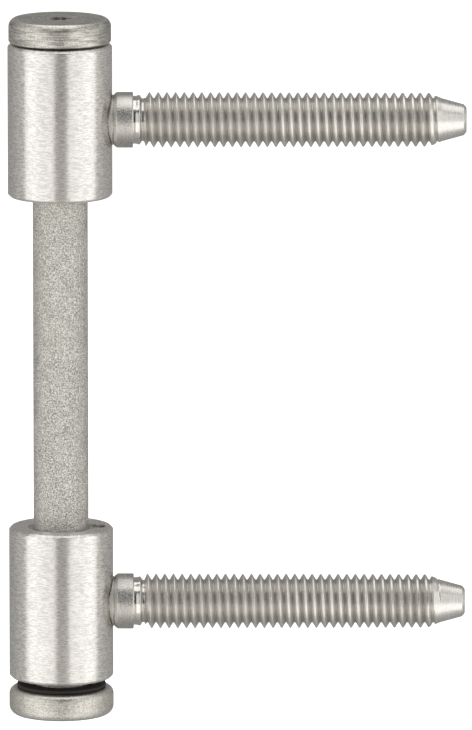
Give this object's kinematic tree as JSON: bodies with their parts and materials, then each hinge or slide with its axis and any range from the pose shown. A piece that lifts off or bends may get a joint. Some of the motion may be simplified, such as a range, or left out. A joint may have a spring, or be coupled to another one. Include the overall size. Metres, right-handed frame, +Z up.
{
  "type": "door hinge leaf part",
  "caption": "Leaf half of a three-part drill-in door hinge: drilled knuckles with M8 studs drawn plain on one loose pin with a head and an unscrewing end button.",
  "frame": {"origin": "on the pin's axis, halfway between the two knuckles, at the middle of the stretch of pin that the door frame's knuckle sits on", "axes": "+Z up along the pin towards its head, +X out along the studs into the door leaf, +Y to the back"},
  "size_m": [0.0657, 0.015, 0.1012],
  "materials": {
    "knuckle": "nickel-plated steel, fine brushing round the barrel",
    "stud": "nickel-plated steel, satin collar, polished neck and tip",
    "pin": "nickel-plated steel, matt tumbled grain",
    "cap": "nickel-plated steel, satin grain with faint turning marks",
    "bush": "grey bearing polymer, moulded",
    "washer": "dark bearing polymer"
  },
  "bodies": {
    "upper_leaf_part": {"upper_knuckle": "knuckle", "upper_stud": "stud", "upper_bush": "bush"},
    "lower_leaf_part": {"lower_knuckle": "knuckle", "lower_stud": "stud", "lower_bush": "bush"},
    "pin": {"hinge_pin": "pin", "head_cap": "cap"},
    "washer": {"thrust_washer": "washer"},
    "button": {"end_button": "cap"}
  },
  "joints": [
    {"name": "pin_turn", "type": "hinge", "parent": "upper_leaf_part", "child": "pin", "pos_m": [0, 0, 0], "axis": [0, 0, 1], "continuous": true},
    {"name": "lower_leaf_turn", "type": "hinge", "parent": "upper_leaf_part", "child": "lower_leaf_part", "pos_m": [0, 0, 0], "axis": [0, 0, 1], "continuous": true},
    {"name": "button_travel", "type": "slide", "parent": "pin", "child": "washer", "axis": [0, 0, -1], "range_m": [0, 0.0065]},
    {"name": "button_unscrew", "type": "hinge", "parent": "washer", "child": "button", "pos_m": [0, 0, -0.04765], "axis": [0, 0, -1], "range_deg": [0, 2880]}
  ],
  "couplings": [
    {"joint": "button_travel", "follows": "button_unscrew", "m_per_rad": 0.00012732}
  ]
}
